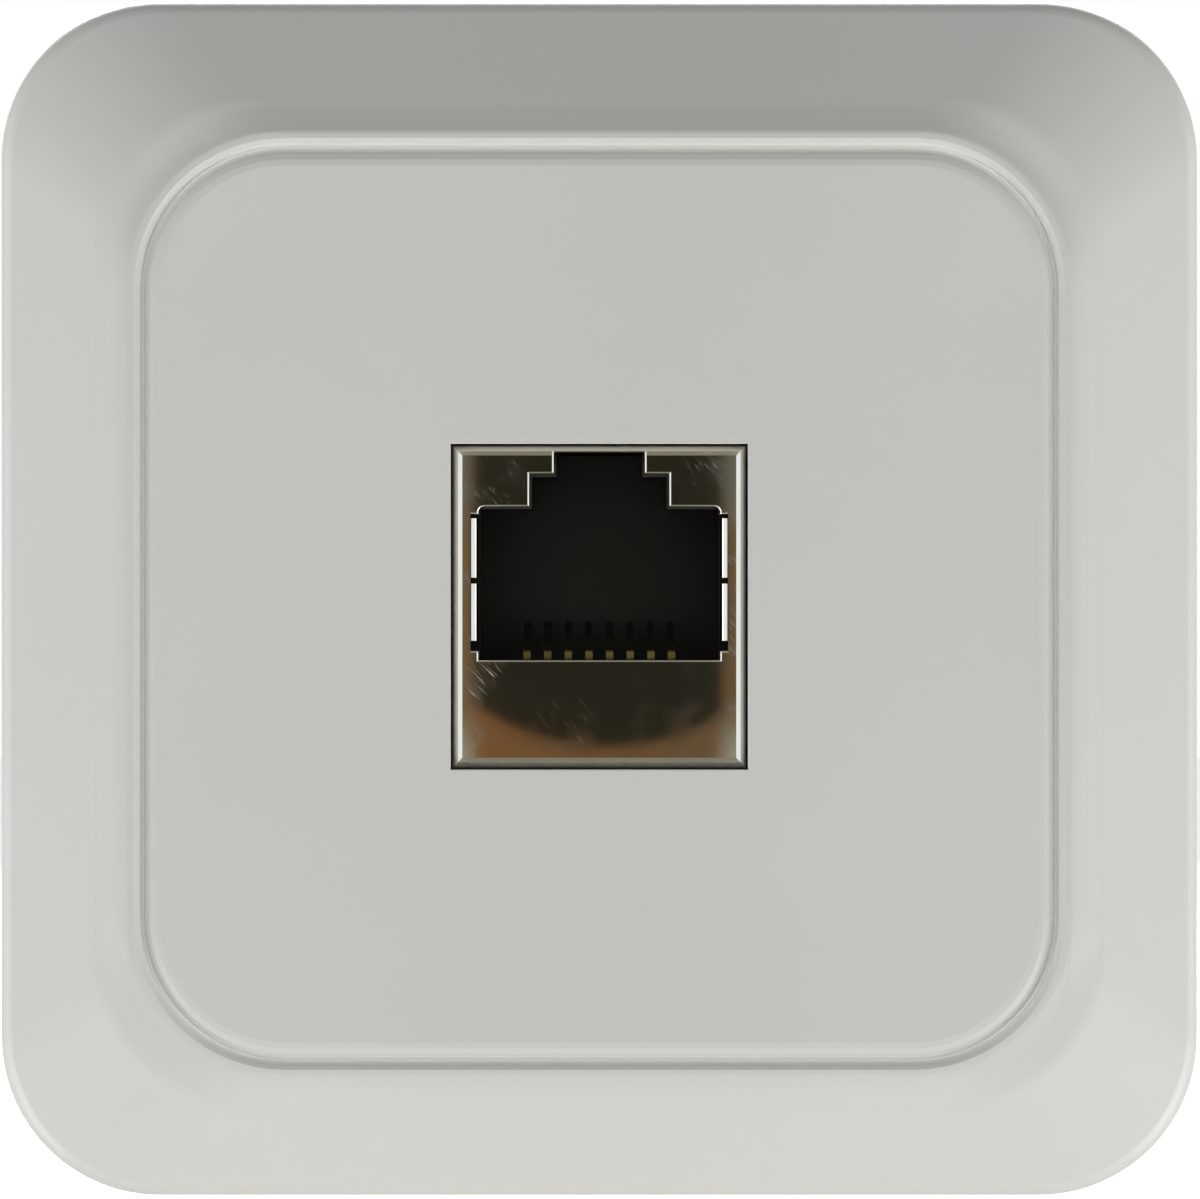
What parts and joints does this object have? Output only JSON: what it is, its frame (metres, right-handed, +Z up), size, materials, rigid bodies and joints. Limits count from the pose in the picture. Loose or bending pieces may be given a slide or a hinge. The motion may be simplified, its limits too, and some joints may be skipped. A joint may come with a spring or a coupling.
{
  "type": "telephone wall socket",
  "caption": "Square white surface-mounted telephone wall socket with one shielded modular jack.",
  "frame": {"origin": "centre of the back face that lies on the wall", "axes": "+Z up, +X to the right seen from the front, the front faces -Y and +Y points into the wall"},
  "size_m": [0.06, 0.026, 0.0598],
  "materials": {
    "white_plastic": "satin",
    "tinned_steel": "satin",
    "black_plastic": "matte",
    "gold_plating": "polished",
    "board_laminate": "satin",
    "terminal_plastic": "matte",
    "clip_bronze": "satin",
    "screw_steel": "satin"
  },
  "bodies": {
    "root": {"base_plate": "white_plastic", "board_screws": "screw_steel", "circuit_board": "board_laminate", "contact_carrier": "black_plastic", "contact_wire_1": "gold_plating", "contact_wire_2": "gold_plating", "contact_wire_3": "gold_plating", "contact_wire_4": "gold_plating", "contact_wire_5": "gold_plating", "contact_wire_6": "gold_plating", "contact_wire_7": "gold_plating", "contact_wire_8": "gold_plating", "front_cover": "white_plastic", "ground_tab": "tinned_steel", "jack_housing": "black_plastic", "jack_shell": "tinned_steel", "terminal_block_left": "terminal_plastic", "terminal_block_right": "terminal_plastic", "terminal_cap_left": "white_plastic", "terminal_cap_right": "white_plastic", "terminal_contact_1": "clip_bronze", "terminal_contact_2": "clip_bronze", "terminal_contact_3": "clip_bronze", "terminal_contact_4": "clip_bronze", "terminal_contact_5": "clip_bronze", "terminal_contact_6": "clip_bronze", "terminal_contact_7": "clip_bronze", "terminal_contact_8": "clip_bronze"}
  },
  "joints": []
}
